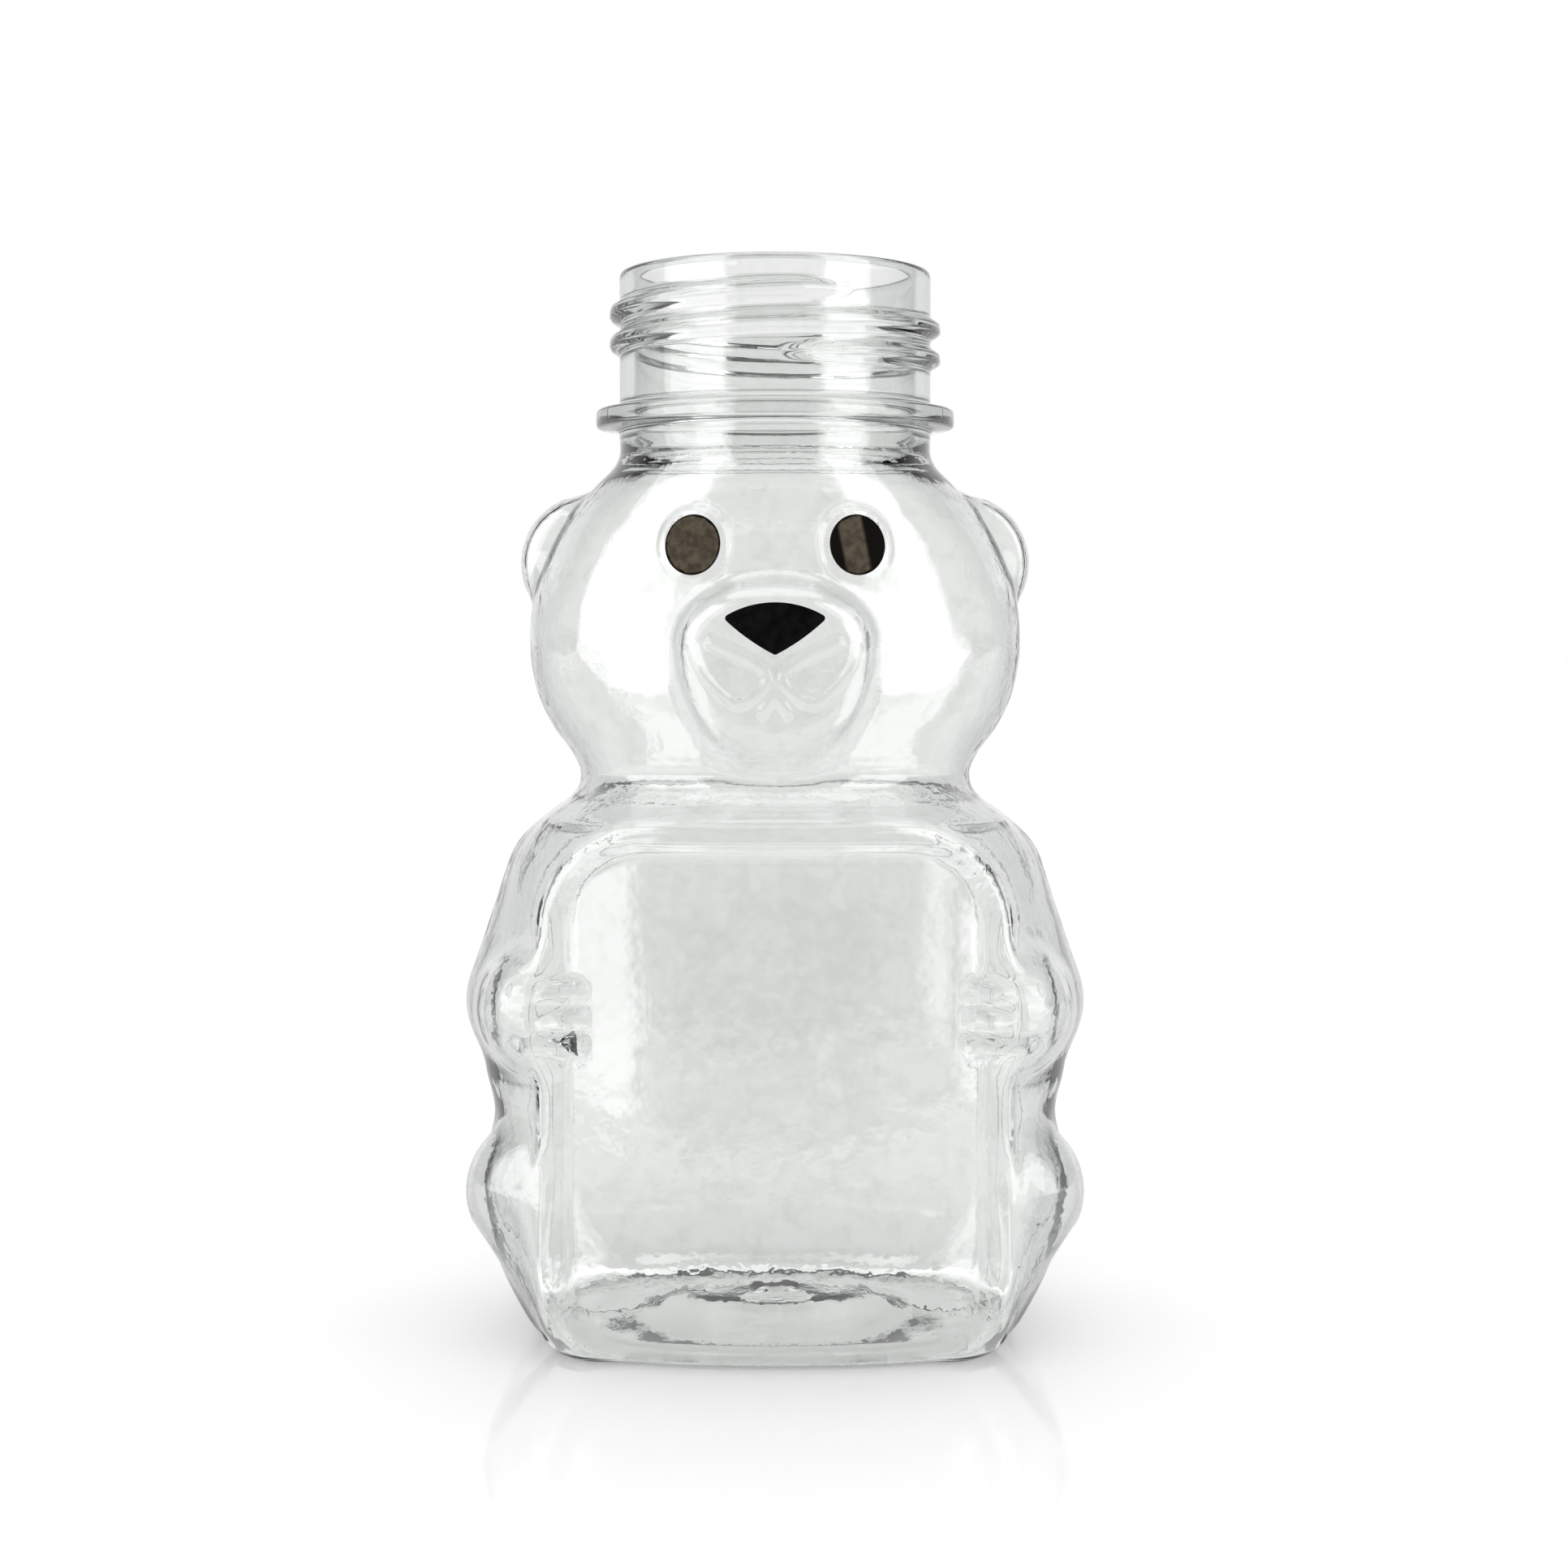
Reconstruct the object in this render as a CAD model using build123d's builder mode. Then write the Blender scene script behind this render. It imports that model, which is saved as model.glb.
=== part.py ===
"""A clear blow-moulded bear bottle, open at the neck, with two printed eyes and a printed nose.

The bottle is one moulding: a bear with ears, muzzle, arms and legs, a label panel on its front and
back and a pushed-up base, under an injection-moulded 38 mm neck with a right-hand thread and a neck
ring. The cavity follows the outside at the thickness of the wall, because both come from the same
functions. Millimetres, +Z up, the bear looks along -Y, and the origin is the centre of the base.
"""

import os
from math import asin, copysign, cos, degrees, hypot, pi, radians, sin

from build123d import *

# Overall
bottle_height = 119.0
bottle_depth = 48.6
wall = 0.6
overrun = 6.0

# Standing base
foot_width = 53.0
foot_depth = 40.4
heel_round = 2.4
push_up_width = 31.0
push_up_depth = 21.0
push_up_height = 2.4
push_up_round = 1.2
push_up_draft = 35.0

# Torso and head, as levels with a full width and a full depth
body_depth = 48.4
thigh_level = 16.9
thigh_width = 66.6
flank_level = 24.5
flank_width = 63.7
elbow_level = 37.0
elbow_width = 67.6
chest_level = 48.4
chest_width = 62.4
ledge_level = 57.2
ledge_width = 53.4
waist_level = 62.4
waist_width = 44.1
waist_depth = 37.4
cheek_level = 77.9
cheek_width = 55.5
cheek_depth = 41.4
brow_level = 92.6
brow_width = 45.1
brow_depth = 37.2
nape_level = 97.4
nape_diameter = 36.0

# Neck finish
neck_diameter = 35.1
bore_diameter = 31.8
rim_round = 0.5
nape_round = 1.5
nape_lip = 0.1
nape_inside_rise = 2.2

# Thread on the neck
thread_diameter = 37.3
thread_pitch = 3.35
thread_root_width = 2.5
thread_crest_width = 1.0
thread_seat = 0.3
thread_start_level = 108.4
thread_turns = 2.08
thread_fade_turns = 0.09
thread_end_share = 0.1
thread_narrow_share = 0.4

# Neck ring
ring_diameter = 40.4
ring_level = 101.4
ring_thickness = 2.2
ring_edge_thickness = 1.8
ring_root_round = 0.6
ring_edge_round = 0.35

# Raised frame round each label panel. Its outline runs on below the base
frame_width = 51.2
frame_height = 64.4
frame_middle_level = 27.0
frame_corner = 12.6
frame_top = 58.5
frame_top_round = 2.6
frame_edge_round = 0.8
frame_root_depth = 20.0
frame_stand = 0.7

# Label panels
panel_width = 45.2
panel_top = 53.9
panel_bottom = 3.8
panel_corner = 8.2
panel_depth = 46.4
panel_curve = 66.0
panel_foot_round = 8.0
panel_draft = 20.0
panel_root_depth = 36.6
panel_floor_round = 1.2

# Ears
ear_radius = 7.8
ear_half_thickness = 4.4
ear_spread = 21.1
ear_level = 86.4
ear_setback = 1.2
cup_radius = 6.3
cup_depth = 2.4

# Muzzle
muzzle_level = 77.5
muzzle_face_width = 18.8
muzzle_face_top = 5.1
muzzle_face_chin = 10.3
muzzle_root_width = 23.8
muzzle_root_top = 10.6
muzzle_root_chin = 17.0
muzzle_height = 9.5
muzzle_dome = 38.0
muzzle_edge_round = 1.2

# Arms
shoulder_radius = 6.6
shoulder_place = (23.6, -2.0, 51.0)
elbow_radius = 8.0
elbow_place = (26.1, -5.0, 37.6)
paw_radius = 7.9
paw_place = (24.4, -13.9, 38.0)

# Legs
knee_radius = 8.2
knee_place = (25.8, -10.8, 17.4)
sole_radius = 5.4
sole_place = (19.8, -15.4, 5.5)

# Fingers, across the front of each paw
finger_radius = 1.1
finger_pitch = 2.85
finger_count = 3
finger_start = (22.4, -20.9, 40.6)
finger_end = (27.0, -20.3, 40.6)

# Eyes, each a flat raised pad with a printed disc
eye_spread = 8.7
eye_level = 87.9
eye_turn = 16.0
eye_tilt = 8.0
eye_pad_depth = 19.0
eye_pad_width = 7.6
eye_pad_height = 8.0
eye_pad_draft = 15.0
eye_pad_root = 2.0
eye_width = 6.1
eye_height = 6.5
print_thickness = 0.12

# Nose print and mouth, on the muzzle's dome
nose_width = 10.9
nose_corner_level = 80.2
nose_top_level = 81.8
nose_tip_level = 76.3
nose_side_bulge = 0.25
nose_corner_round = 0.4
nose_tip_round = 1.0
mouth_line_width = 1.1
mouth_line_depth = 0.3
mouth_level = 72.4
mouth_reach = 3.6
mouth_drop = 1.7
mouth_bend_share = 0.6

muzzle_dome_center = (0, muzzle_dome - bottle_depth / 2, muzzle_level)


def blend(low, high, share):
    """A value part of the way from low to high."""
    return low + (high - low) * share


def stations():
    """The levels of the torso and head as (level, half width, half depth, squareness)."""
    belly_depth = body_depth - 2 * frame_stand
    named = [
        (0.0, foot_width, foot_depth - 2 * frame_stand, 3.2),
        (thigh_level, thigh_width, belly_depth, 2.3),
        (flank_level, flank_width, belly_depth, 2.25),
        (elbow_level, elbow_width, belly_depth, 2.25),
        (chest_level, chest_width, belly_depth, 2.25),
        (ledge_level, ledge_width, belly_depth, 2.5),
        (waist_level, waist_width, waist_depth, 2.1),
        (cheek_level, cheek_width, cheek_depth, 2.0),
        (brow_level, brow_width, brow_depth, 2.0),
        (nape_level, nape_diameter, nape_diameter, 2.0),
    ]
    # Between two named levels: shares of the rise, of the change in width and of that in depth
    between_shares = [
        [(0.24, 0.38, 0.50), (0.50, 0.72, 0.85), (0.76, 0.94, 0.98)],
        [(0.50, 0.50, 0.50)],
        [(0.40, 0.50, 0.50)],
        [(0.42, 0.21, 0.50), (0.71, 0.52, 0.75)],
        [(0.38, 0.25, 0.50), (0.70, 0.54, 0.75)],
        [(0.22, 0.25, 0.06), (0.44, 0.62, 0.32), (0.68, 0.89, 0.74)],
        [(0.18, 0.18, 0.18), (0.33, 0.49, 0.49), (0.54, 0.79, 0.79), (0.76, 0.95, 0.95)],
        [(0.28, 0.07, 0.07), (0.56, 0.30, 0.30), (0.82, 0.65, 0.65)],
        [(0.52, 0.52, 0.58)],
    ]
    found = []
    for low, high, shares in zip(named, named[1:], between_shares):
        found.append(low)
        for rise_share, width_share, depth_share in shares:
            found.append(
                (
                    blend(low[0], high[0], rise_share),
                    blend(low[1], high[1], width_share),
                    blend(low[2], high[2], depth_share),
                    blend(low[3], high[3], rise_share),
                )
            )
    found.append(named[-1])
    return [(level, width / 2, depth / 2, power) for level, width, depth, power in found]


def outline(half_width, half_depth, power, count=16):
    """Points round a squared ellipse."""
    points = []
    for step in range(count):
        turn = 2 * pi * step / count
        across, along = cos(turn), sin(turn)
        points.append(
            (
                half_width * copysign(abs(across) ** (2 / power), across),
                half_depth * copysign(abs(along) ** (2 / power), along),
            )
        )
    return points


def trunk(inset):
    """Torso and head in one, with a rounded heel. The inside narrows at its top to the bore."""
    rows = stations()
    floor_share = inset / rows[1][0]
    rows[0] = [blend(low, high, floor_share) for low, high in zip(rows[0], rows[1])]
    sections = []
    for at, (level, half_width, half_depth, power) in enumerate(rows):
        below = rows[max(at - 1, 0)]
        above = rows[min(at + 1, len(rows) - 1)]
        rise = above[0] - below[0]
        side_inset = inset * hypot(1, (above[1] - below[1]) / rise)
        front_inset = inset * hypot(1, (above[2] - below[2]) / rise)
        sections.append((level, half_width - side_inset, half_depth - front_inset, power))
    if inset:
        top_radius = bore_diameter / 2 + nape_lip
        sections.append((nape_level + nape_inside_rise, top_radius, top_radius, 2.0))
    with BuildPart() as body:
        for level, half_width, half_depth, power in sections:
            with BuildSketch(Plane.XY.offset(level)):
                with BuildLine():
                    Spline(*outline(half_width, half_depth, power), periodic=True)
                make_face()
        loft()
        fillet(body.edges().group_by(Axis.Z)[0], heel_round - inset)
    return body.part


def limb(start, end, start_radius, end_radius):
    """A limb that tapers between two round ends."""
    reach = Vector(*end) - Vector(*start)
    lean = asin((start_radius - end_radius) / reach.length)
    side = reach.cross(Vector(0, 0, 1))
    with BuildPart() as tapered:
        with BuildSketch(Plane(origin=start, x_dir=reach, z_dir=side)):
            with BuildLine():
                near = CenterArc((0, 0), start_radius, 90 - degrees(lean), 90 + degrees(lean))
                far = CenterArc((reach.length, 0), end_radius, 0, 90 - degrees(lean))
                Line(far @ 1, near @ 0)
                Line(near @ 1, far @ 0)
            make_face()
        revolve(axis=Axis(start, reach))
    return tapered.part


def limbs(inset):
    """Left arm and left leg."""
    return [
        limb(shoulder_place, elbow_place, shoulder_radius - inset, elbow_radius - inset),
        limb(elbow_place, paw_place, elbow_radius - inset, paw_radius - inset),
        limb(knee_place, sole_place, knee_radius - inset, sole_radius - inset),
    ]


def ear(inset):
    """The left ear, a thick disc with a hollow front."""
    center = Vector(ear_spread, ear_setback, ear_level)
    rim = ear_half_thickness * (1 - (cup_radius / ear_radius) ** 2) ** 0.5
    cup_ball = (cup_radius**2 + cup_depth**2) / (2 * cup_depth)
    cup_center = center - Vector(0, rim + cup_ball - cup_depth, 0)
    with BuildPart() as shell:
        with BuildSketch(Plane(origin=center)) as profile:
            Ellipse(ear_radius - inset, ear_half_thickness - inset)
            split(bisect_by=Plane.YZ, keep=Keep.TOP)
        revolve(axis=Axis(center, (0, 1, 0)))
        with Locations(cup_center):
            Sphere(cup_ball + inset, mode=Mode.SUBTRACT)
    return shell.part


def muzzle(inset):
    """The snout, which narrows to a domed face."""
    root_depth = bottle_depth / 2 - muzzle_height
    with BuildPart() as snout:
        for depth, width, top, chin in (
            (root_depth, muzzle_root_width, muzzle_root_top, muzzle_root_chin),
            (bottle_depth / 2, muzzle_face_width, muzzle_face_top, muzzle_face_chin),
        ):
            with BuildSketch(Plane((0, -depth, muzzle_level), x_dir=(1, 0, 0), z_dir=(0, -1, 0))):
                with BuildLine():
                    EllipticalCenterArc((0, 0), width / 2 - inset, top - inset, 0, arc_size=180)
                    EllipticalCenterArc((0, 0), width / 2 - inset, chin - inset, 180, arc_size=180)
                make_face()
        loft(ruled=True)
        with Locations(muzzle_dome_center):
            Sphere(muzzle_dome - inset, mode=Mode.INTERSECT)
        fillet(snout.faces().sort_by(Axis.Y)[0].edges(), muzzle_edge_round)
    return snout.part


def frame(inset):
    """The raised frame round the front panel. It is curved like the panel and narrows to the foot."""
    foot_rows = [row for row in stations() if row[0] <= thigh_level]
    foot_line = [(inset - frame_stand - half_depth, level) for level, _, half_depth, _ in foot_rows]
    barrel_axis = panel_curve - body_depth / 2
    with BuildPart() as block:
        with BuildSketch(Plane.XZ.offset(frame_root_depth / 2)) as shape:
            with Locations((0, frame_middle_level)):
                RectangleRounded(
                    frame_width - 2 * inset, frame_height - 2 * inset, frame_corner - inset
                )
            split(bisect_by=Plane.XZ.offset(-inset), keep=Keep.BOTTOM)
            fillet(shape.vertices().group_by(Axis.Y)[0], heel_round - inset)
        extrude(amount=bottle_depth)
        with BuildSketch(Plane.YZ) as profile:
            with BuildLine():
                foot = Spline(*foot_line, tangents=[(-1, 2), (0, 1)])
                Polyline(
                    foot @ 1,
                    (foot_line[-1][0], frame_top - inset),
                    (barrel_axis, frame_top - inset),
                    (barrel_axis, 0),
                    foot @ 0,
                )
            make_face()
            split(bisect_by=Plane.XZ.offset(-inset), keep=Keep.BOTTOM)
            fillet(profile.vertices().group_by(Axis.Y)[0].sort_by(Axis.X)[0], heel_round - inset)
            fillet(profile.vertices().group_by(Axis.Y)[-1].sort_by(Axis.X)[0], frame_top_round - inset)
        revolve(axis=Axis((0, barrel_axis, 0), (0, 0, 1)), mode=Mode.INTERSECT)
    return block.part


def panel(inset):
    """What the front panel takes away, in front of a curved floor that turns under at its foot."""
    growth = inset / cos(radians(panel_draft))
    with BuildPart() as barrel:
        with Locations((0, panel_curve - panel_depth / 2, inset)):
            Cylinder(
                panel_curve - inset, bottle_height, align=(Align.CENTER, Align.CENTER, Align.MIN)
            )
        fillet(barrel.edges().group_by(Axis.Z)[0], panel_foot_round - inset)
    with BuildPart() as cut:
        with BuildSketch(Plane.XZ.offset(panel_root_depth / 2)):
            with Locations((0, (panel_top + panel_bottom) / 2)):
                RectangleRounded(
                    panel_width + 2 * growth,
                    panel_top - panel_bottom + 2 * growth,
                    panel_corner + growth,
                )
        extrude(amount=overrun, taper=-panel_draft)
        extrude(cut.faces().sort_by(Axis.Y)[0], amount=overrun)
        add(barrel.part, mode=Mode.SUBTRACT)
        floor = cut.faces().filter_by(GeomType.CYLINDER)[0].edges()
        turned_foot = cut.faces().filter_by(GeomType.TORUS)[0].edges()
        fillet((floor - turned_foot) + (turned_foot - floor), panel_floor_round)
    return cut.part


def push_up(inset):
    """The hollow under the base."""
    with BuildPart() as hollow:
        with BuildSketch():
            Ellipse(push_up_width / 2 + inset, push_up_depth / 2 + inset)
        extrude(amount=push_up_height + inset, taper=push_up_draft)
        fillet(hollow.edges().group_by(Axis.Z)[-1], push_up_round)
    return hollow.part


def both_sides(piece):
    """A piece of the bear's left side with its twin."""
    return [piece, mirror(piece, about=Plane.YZ, mode=Mode.PRIVATE)]


def front_and_back(piece):
    """A piece of the bear's front with its twin."""
    return [piece, mirror(piece, about=Plane.XZ, mode=Mode.PRIVATE)]


def skin(inset):
    """The whole bear up to the nape, at the outside or at an inset from it."""
    additions = [muzzle(inset)]
    for piece in [*limbs(inset), ear(inset)]:
        additions += both_sides(piece)
    with BuildPart() as bear:
        add(trunk(inset))
        add(front_and_back(frame(inset)))
        add(additions)
        add([*front_and_back(panel(inset)), push_up(inset)], mode=Mode.SUBTRACT)
    return bear.part


def neck():
    """The neck with its ring and its small flare on to the nape, still solid inside."""
    radius = neck_diameter / 2
    flare = nape_diameter / 2 - nape_lip - radius
    flare_rise = (nape_round**2 - (nape_round - flare) ** 2) ** 0.5
    ring_top = ring_level + ring_thickness
    ring_slant = (ring_thickness - ring_edge_thickness) / 2
    with BuildPart() as finish:
        with BuildSketch(Plane.XZ) as profile:
            with BuildLine():
                Line((0, nape_level), (radius + flare, nape_level))
                RadiusArc((radius + flare, nape_level), (radius, nape_level + flare_rise), nape_round)
                Polyline(
                    (radius, nape_level + flare_rise),
                    (radius, ring_level),
                    (ring_diameter / 2, ring_level + ring_slant),
                    (ring_diameter / 2, ring_top - ring_slant),
                    (radius, ring_top),
                    (radius, bottle_height),
                    (0, bottle_height),
                    (0, nape_level),
                )
            make_face()
            ring_corners = profile.vertices().group_by(Axis.X)[-1]
            fillet(ring_corners, ring_edge_round)
            ring_roots = (
                profile.vertices()
                .filter_by_position(Axis.X, radius, radius)
                .filter_by_position(Axis.Y, ring_level, ring_top)
            )
            fillet(ring_roots, ring_root_round)
            rim_corner = profile.vertices().group_by(Axis.Y)[-1].sort_by(Axis.X)[-1]
            fillet(rim_corner, rim_round)
        revolve(axis=Axis.Z)
    return finish.part


def thread_section(path, at, share):
    """The thread's section across its path, at a share of its full height."""
    place = path @ at
    narrowing = blend(thread_narrow_share, 1, share)
    root = thread_root_width / 2 * narrowing
    crest = thread_crest_width / 2 * narrowing
    height = (thread_diameter - neck_diameter) / 2 * share
    across = Plane(origin=place, x_dir=(place.X, place.Y, 0), z_dir=path % at)
    with BuildSketch(across) as section:
        with BuildLine():
            Polyline(
                (-thread_seat, -root),
                (height, -crest),
                (height, crest),
                (-thread_seat, root),
                close=True,
            )
        make_face()
    return section.sketch


def thread_path(first_turn, turns):
    """A stretch of the thread's helix. It starts at the front of the neck."""
    path = Helix(thread_pitch, thread_pitch * turns, neck_diameter / 2, mode=Mode.PRIVATE)
    start = (0, 0, thread_start_level + thread_pitch * first_turn)
    return path.locate(Location(start, (0, 0, 1), 360 * first_turn - 90))


def thread():
    """The thread in three stretches: it grows out of the neck, runs full and fades again."""
    full_turns = thread_turns - 2 * thread_fade_turns
    stretches = []
    for first_turn, turns, first_share, last_share in (
        (0, thread_fade_turns, thread_end_share, 1),
        (thread_fade_turns, full_turns, 1, 1),
        (thread_fade_turns + full_turns, thread_fade_turns, 1, thread_end_share),
    ):
        path = thread_path(first_turn, turns)
        ends = [thread_section(path, 0, first_share), thread_section(path, 1, last_share)]
        with BuildPart() as stretch:
            if first_share == last_share:
                sweep(ends[0], path=path, is_frenet=True)
            else:
                sweep(ends, path=path, multisection=True, is_frenet=True)
        stretches.append(stretch.part)
    return stretches


def cavity():
    """The inside of the bottle, from the base to past the rim."""
    with BuildPart() as inside:
        add(skin(wall))
        with Locations((0, 0, nape_level - overrun)):
            Cylinder(
                bore_diameter / 2,
                bottle_height - nape_level + 2 * overrun,
                align=(Align.CENTER, Align.CENTER, Align.MIN),
            )
    return inside.part


def eye_plane():
    """The plane of the left eye's pad, turned out and tipped up with the face."""
    turn, tilt = radians(eye_turn), radians(eye_tilt)
    place = (eye_spread, -eye_pad_depth, eye_level)
    facing = (sin(turn) * cos(tilt), -cos(turn) * cos(tilt), sin(tilt))
    return Plane(place, x_dir=(cos(turn), sin(turn), 0), z_dir=facing)


def eye_pad():
    """The raised pad that carries the left eye's print."""
    with BuildPart() as pad:
        with BuildSketch(eye_plane()):
            Ellipse(eye_pad_width / 2, eye_pad_height / 2)
        extrude(amount=-eye_pad_root, taper=-eye_pad_draft)
    return pad.part


def finger_ribs():
    """The ribs across the left paw, one under another."""
    ribs = []
    for step in range(finger_count):
        drop = Vector(0, 0, finger_pitch * step)
        start = Vector(*finger_start) - drop
        end = Vector(*finger_end) - drop
        ribs.append(limb(start, end, finger_radius, finger_radius))
    return ribs


def on_muzzle(outline_sketch, low, high):
    """A layer of the muzzle's dome, between two heights above it, within an outline."""
    with BuildPart() as layer:
        extrude(outline_sketch, amount=muzzle_height, both=True)
        with Locations(muzzle_dome_center):
            Sphere(muzzle_dome + high, mode=Mode.INTERSECT)
            Sphere(muzzle_dome + low, mode=Mode.SUBTRACT)
    return layer.part


def nose_outline():
    """A rounded triangle on its tip, with an arched top."""
    corner = nose_width / 2
    with BuildSketch(Plane.XZ.offset(bottle_depth / 2)) as triangle:
        with BuildLine():
            arch = ThreePointArc(
                (-corner, nose_corner_level), (0, nose_top_level), (corner, nose_corner_level)
            )
            SagittaArc(arch @ 1, (0, nose_tip_level), nose_side_bulge)
            SagittaArc((0, nose_tip_level), arch @ 0, nose_side_bulge)
        make_face()
        corners = triangle.vertices().group_by(Axis.Z)
        fillet(corners[-1], nose_corner_round)
        fillet(corners[0], nose_tip_round)
    return triangle.sketch


def mouth_outline():
    """The groove under the nose: a short upright stroke that forks into the mouth's two sides."""
    fork = (0, mouth_level)
    with BuildSketch(Plane.XZ.offset(bottle_depth / 2)) as strokes:
        with BuildLine():
            Line((0, nose_tip_level), fork)
            for side in (-1, 1):
                ThreePointArc(
                    fork,
                    (side * mouth_reach / 2, mouth_level - mouth_drop * mouth_bend_share),
                    (side * mouth_reach, mouth_level - mouth_drop),
                )
        trace(line_width=mouth_line_width)
    return strokes.sketch


os.makedirs("parts", exist_ok=True)

raised = [neck(), *thread(), *both_sides(eye_pad())]
for rib in finger_ribs():
    raised += both_sides(rib)
outer_skin = skin(0)
inner_space = cavity()
mouth_groove = on_muzzle(mouth_outline(), -mouth_line_depth, mouth_line_depth)

with BuildPart() as bottle:
    add(outer_skin)
    add(raised)
    add([mouth_groove, inner_space], mode=Mode.SUBTRACT)

with BuildPart() as left_eye:
    with BuildSketch(eye_plane()):
        Ellipse(eye_width / 2, eye_height / 2)
    extrude(amount=print_thickness)

with BuildPart() as right_eye:
    add(mirror(left_eye.part, about=Plane.YZ, mode=Mode.PRIVATE))

with BuildPart() as nose:
    add(on_muzzle(nose_outline(), 0, print_thickness))

bottle.part.label = "bottle"
left_eye.part.label = "left_eye"
right_eye.part.label = "right_eye"
nose.part.label = "nose"

export_step(bottle.part, "parts/bottle.step")
export_step(left_eye.part, "parts/left_eye.step")
export_step(right_eye.part, "parts/right_eye.step")
export_step(nose.part, "parts/nose.step")

print("bottle volume", bottle.part.volume, "capacity", inner_space.volume)
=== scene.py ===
# %% [markdown]
# # A clear bear bottle
#
# This notebook dresses a imported CAD model of a honey bear bottle so that it looks like the real one: a
# thin blown skin of clear plastic, soft everywhere, with printed eyes and a printed nose. The CAD file
# fixes the size and the place of every part. Here we only make it look right.
#
# The first step loads that model, and part_box gives the box of any of its parts.

from math import cos, degrees, pi, radians, sin, sqrt, tan

import bmesh
import bpy
import numpy as np
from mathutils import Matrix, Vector


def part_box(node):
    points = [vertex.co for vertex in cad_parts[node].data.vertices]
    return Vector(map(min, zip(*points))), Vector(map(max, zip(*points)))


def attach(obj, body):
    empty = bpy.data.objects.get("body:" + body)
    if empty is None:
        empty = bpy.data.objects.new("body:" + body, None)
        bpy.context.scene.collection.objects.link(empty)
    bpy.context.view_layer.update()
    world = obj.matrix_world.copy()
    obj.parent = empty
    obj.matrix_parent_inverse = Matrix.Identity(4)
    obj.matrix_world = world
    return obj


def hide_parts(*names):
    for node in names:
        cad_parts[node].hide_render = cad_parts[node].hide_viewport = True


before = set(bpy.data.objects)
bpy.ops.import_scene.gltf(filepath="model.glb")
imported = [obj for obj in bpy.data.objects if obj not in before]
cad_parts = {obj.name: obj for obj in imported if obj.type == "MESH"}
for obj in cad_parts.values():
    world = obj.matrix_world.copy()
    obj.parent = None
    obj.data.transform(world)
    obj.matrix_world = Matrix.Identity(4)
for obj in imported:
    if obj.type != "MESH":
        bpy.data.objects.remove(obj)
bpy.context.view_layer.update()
MM = 0.001
print("CAD nodes:", sorted(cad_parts))

# %% [markdown]
# ## The camera
#
# A photograph of a bottle this small is taken from close by, and perspective shows it: we look down into
# the base and a little up at the rim. The ellipses of the rim and the neck ring give the distance, 280 mm
# from the axis, and a height of 80 mm. The camera tips down a little, and a small shift does the rest of
# the framing.

# %% Place the camera
PHOTO_SIDE = 1932
CAMERA_DISTANCE = 280.0 * MM
CAMERA_HEIGHT = 79.9 * MM
CAMERA_TIP = radians(2.2)
FOCAL_PIXELS = 3036.0
SENSOR = 36.0
SHIFT = (0.0057, -0.0439)

camera = bpy.data.objects.new("camera", bpy.data.cameras.new("camera"))
bpy.context.scene.collection.objects.link(camera)
bpy.context.scene.camera = camera
camera.location = (0, -CAMERA_DISTANCE, CAMERA_HEIGHT)
camera.rotation_euler = (pi / 2 - CAMERA_TIP, 0, 0)
camera.data.sensor_width = SENSOR
camera.data.lens = FOCAL_PIXELS * SENSOR / PHOTO_SIDE
camera.data.shift_x, camera.data.shift_y = SHIFT
print("lens", round(camera.data.lens, 2), "mm")

# %% [markdown]
# ## The bear as a field
#
# The real bottle is blown: a soft tube of hot plastic is pressed by air into a mould, so every edge is
# rounded and every limb runs into the body in a soft valley. Joining solids with booleans gives hard
# valleys. Instead we describe the bear as a *depth field*: a number for each point that is positive inside
# the bear, zero on its skin and negative outside. Two shapes join softly when their fields are blended.
#
# The body and head come first: half width, half depth and squareness at each level, read from the
# photograph's outline, in millimetres.

# %% Body and head, level by level
BODY_LEVELS = np.array(
    [
        (0.00, 26.50, 20.20, 3.20),
        (4.06, 29.08, 22.20, 2.90),
        (8.45, 31.40, 23.60, 2.60),
        (12.84, 32.89, 24.12, 2.40),
        (16.90, 33.30, 24.20, 2.30),
        (20.70, 32.58, 24.20, 2.25),
        (24.50, 31.85, 24.20, 2.25),
        (29.50, 32.83, 24.20, 2.25),
        (37.00, 33.80, 24.20, 2.25),
        (41.79, 33.25, 24.20, 2.25),
        (45.09, 32.45, 24.20, 2.25),
        (48.40, 31.20, 24.20, 2.25),
        (51.74, 30.07, 24.20, 2.30),
        (54.56, 28.77, 24.20, 2.40),
        (57.20, 26.70, 24.20, 2.50),
        (58.34, 25.54, 23.87, 2.57),
        (59.49, 23.82, 22.44, 2.44),
        (60.74, 22.56, 20.13, 2.29),
        (62.40, 22.05, 18.70, 2.10),
        (65.19, 23.08, 19.06, 2.08),
        (67.52, 24.84, 19.68, 2.07),
        (70.77, 26.55, 20.28, 2.05),
        (74.18, 27.46, 20.60, 2.02),
        (77.90, 27.75, 20.70, 2.00),
        (82.02, 27.39, 20.55, 2.00),
        (86.13, 26.19, 20.07, 2.00),
        (89.95, 24.37, 19.34, 2.00),
        (92.60, 22.55, 18.60, 2.00),
        (95.10, 20.18, 18.25, 2.00),
        (97.40, 18.00, 18.00, 2.00),
        (98.60, 17.55, 17.55, 2.00),
        (100.00, 17.55, 17.55, 2.00),
    ]
)
HEEL_ROUND = 2.4


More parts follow.
